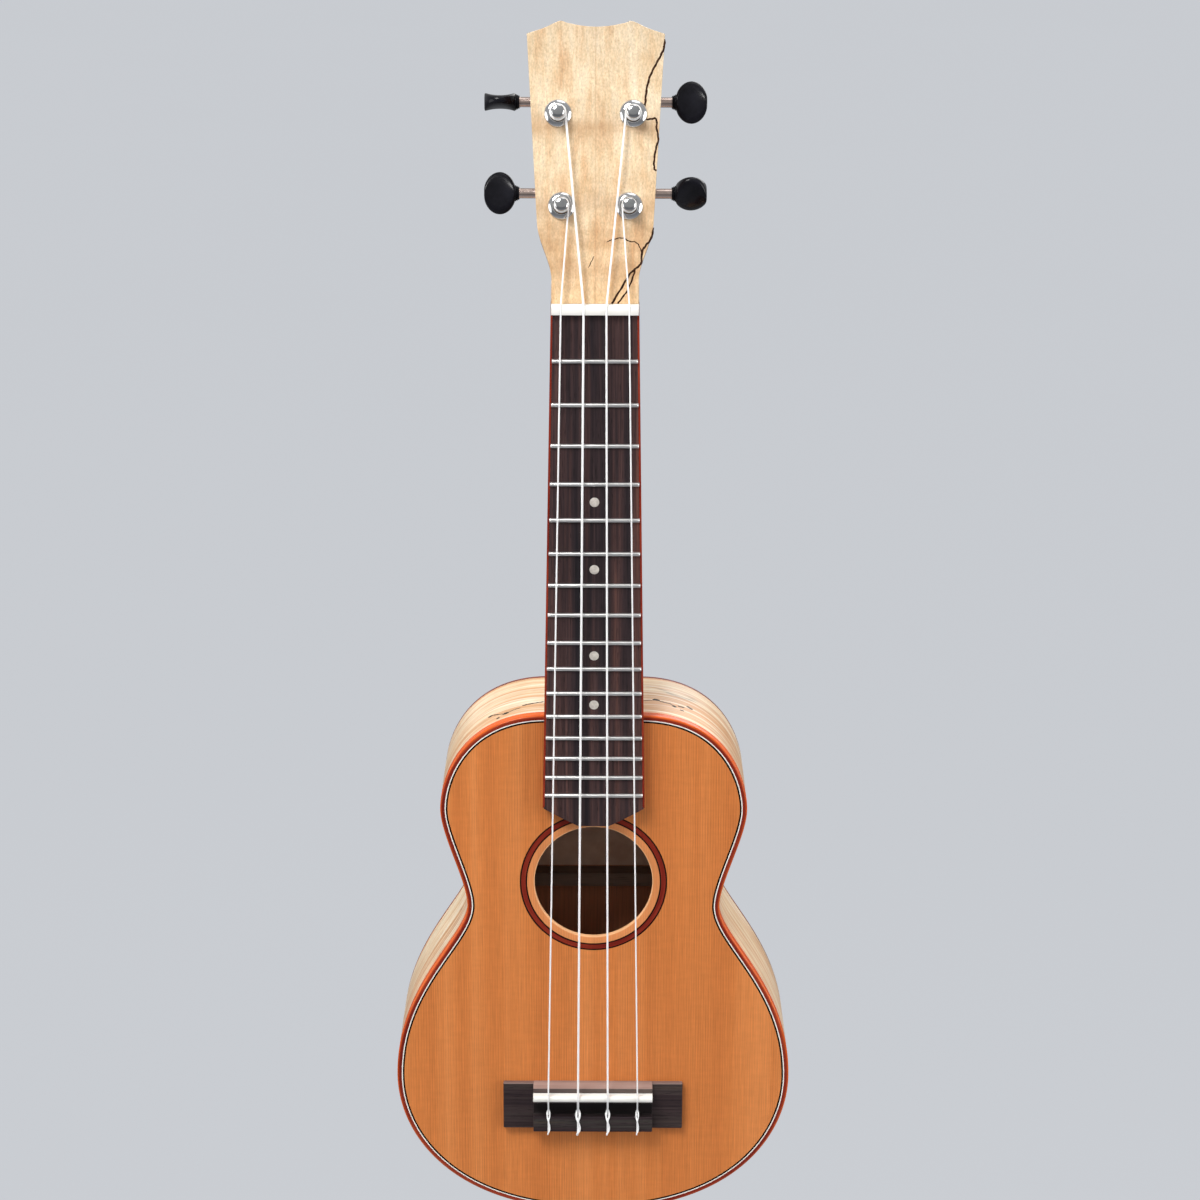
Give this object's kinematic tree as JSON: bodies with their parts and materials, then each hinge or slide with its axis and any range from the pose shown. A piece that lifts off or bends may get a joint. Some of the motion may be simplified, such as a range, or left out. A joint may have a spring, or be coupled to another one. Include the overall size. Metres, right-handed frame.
{
  "type": "soprano ukulele",
  "caption": "Small four-string lute with a figure-of-eight wooden body, round soundhole, fretted neck, tied bridge and geared tuners on an angled headstock.",
  "frame": {"origin": "on the centre plane, at mid thickness of the headstock where its shoulders widen above the nut, which is where a hanger's yoke carries the instrument", "axes": "+Z along the neck from the tail to the headstock, -Y out of the front, the way the soundboard and strings face, +X to the right seen from the front"},
  "size_m": [0.1728, 0.0657, 0.5238],
  "materials": {
    "cedar": "satin, straight fine grain",
    "spalted_maple": "gloss, pale with dark zone lines",
    "rosewood": "oiled, open grain",
    "red_binding": "gloss, deep red wood",
    "mahogany": "satin",
    "spruce": "bare, sanded",
    "bone": "polished bone white",
    "nickel_silver": "polished",
    "chrome": "bright",
    "bronze": "dark bronze",
    "black_plastic": "gloss black",
    "nylon": "clear white"
  },
  "bodies": {
    "instrument": {"soundboard": "cedar", "rosette": "red_binding", "top_binding": "red_binding", "back_binding": "red_binding", "back_plate": "spalted_maple", "rib_left": "spalted_maple", "rib_right": "spalted_maple", "headplate": "spalted_maple", "top_lining": "spruce", "back_lining": "spruce", "upper_brace": "spruce", "lower_brace": "spruce", "back_brace": "spruce", "neck_block": "mahogany", "tail_block": "mahogany", "neck": "mahogany", "fretboard": "rosewood", "bridge": "rosewood", "saddle": "bone", "nut": "bone", "fret_01": "nickel_silver", "fret_02": "nickel_silver", "fret_03": "nickel_silver", "fret_04": "nickel_silver", "fret_05": "nickel_silver", "fret_06": "nickel_silver", "fret_07": "nickel_silver", "fret_08": "nickel_silver", "fret_09": "nickel_silver", "fret_10": "nickel_silver", "fret_11": "nickel_silver", "fret_12": "nickel_silver", "fret_13": "nickel_silver", "fret_14": "nickel_silver", "fret_15": "nickel_silver", "fret_16": "nickel_silver", "string_g": "nylon", "string_c": "nylon", "string_e": "nylon", "string_a": "nylon", "bushing_top_left": "chrome", "tuner_plate_top_left": "chrome", "bushing_top_right": "chrome", "tuner_plate_top_right": "chrome", "bushing_bottom_left": "chrome", "tuner_plate_bottom_left": "chrome", "bushing_bottom_right": "chrome", "tuner_plate_bottom_right": "chrome"},
    "knob_top_left": {"worm_shaft_top_left": "bronze", "button_top_left": "black_plastic"},
    "post_top_left": {"string_post_top_left": "chrome"},
    "knob_top_right": {"worm_shaft_top_right": "bronze", "button_top_right": "black_plastic"},
    "post_top_right": {"string_post_top_right": "chrome"},
    "knob_bottom_left": {"worm_shaft_bottom_left": "bronze", "button_bottom_left": "black_plastic"},
    "post_bottom_left": {"string_post_bottom_left": "chrome"},
    "knob_bottom_right": {"worm_shaft_bottom_right": "bronze", "button_bottom_right": "black_plastic"},
    "post_bottom_right": {"string_post_bottom_right": "chrome"}
  },
  "joints": [
    {"name": "knob_turn_top_left", "type": "hinge", "parent": "instrument", "child": "knob_top_left", "pos_m": [-0.0153, 0.02799, 0.06062], "axis": [1, 0, 0], "continuous": true},
    {"name": "post_turn_top_left", "type": "hinge", "parent": "instrument", "child": "post_top_left", "pos_m": [-0.0153, 0.00973, 0.05858], "axis": [0, -0.9659, 0.2588], "continuous": true},
    {"name": "knob_turn_top_right", "type": "hinge", "parent": "instrument", "child": "knob_top_right", "pos_m": [0.0153, 0.02799, 0.06062], "axis": [1, 0, 0], "continuous": true},
    {"name": "post_turn_top_right", "type": "hinge", "parent": "instrument", "child": "post_top_right", "pos_m": [0.0153, 0.00973, 0.05858], "axis": [0, -0.9659, 0.2588], "continuous": true},
    {"name": "knob_turn_bottom_left", "type": "hinge", "parent": "instrument", "child": "knob_bottom_left", "pos_m": [-0.0137, 0.01831, 0.02449], "axis": [1, 0, 0], "continuous": true},
    {"name": "post_turn_bottom_left", "type": "hinge", "parent": "instrument", "child": "post_bottom_left", "pos_m": [-0.0137, 0.00005, 0.02245], "axis": [0, -0.9659, 0.2588], "continuous": true},
    {"name": "knob_turn_bottom_right", "type": "hinge", "parent": "instrument", "child": "knob_bottom_right", "pos_m": [0.0137, 0.01831, 0.02449], "axis": [1, 0, 0], "continuous": true},
    {"name": "post_turn_bottom_right", "type": "hinge", "parent": "instrument", "child": "post_bottom_right", "pos_m": [0.0137, 0.00005, 0.02245], "axis": [0, -0.9659, 0.2588], "continuous": true}
  ],
  "couplings": [
    {"joint": "post_turn_top_left", "follows": "knob_turn_top_left", "ratio": 0.071429},
    {"joint": "post_turn_top_right", "follows": "knob_turn_top_right", "ratio": 0.071429},
    {"joint": "post_turn_bottom_left", "follows": "knob_turn_bottom_left", "ratio": 0.071429},
    {"joint": "post_turn_bottom_right", "follows": "knob_turn_bottom_right", "ratio": 0.071429}
  ]
}
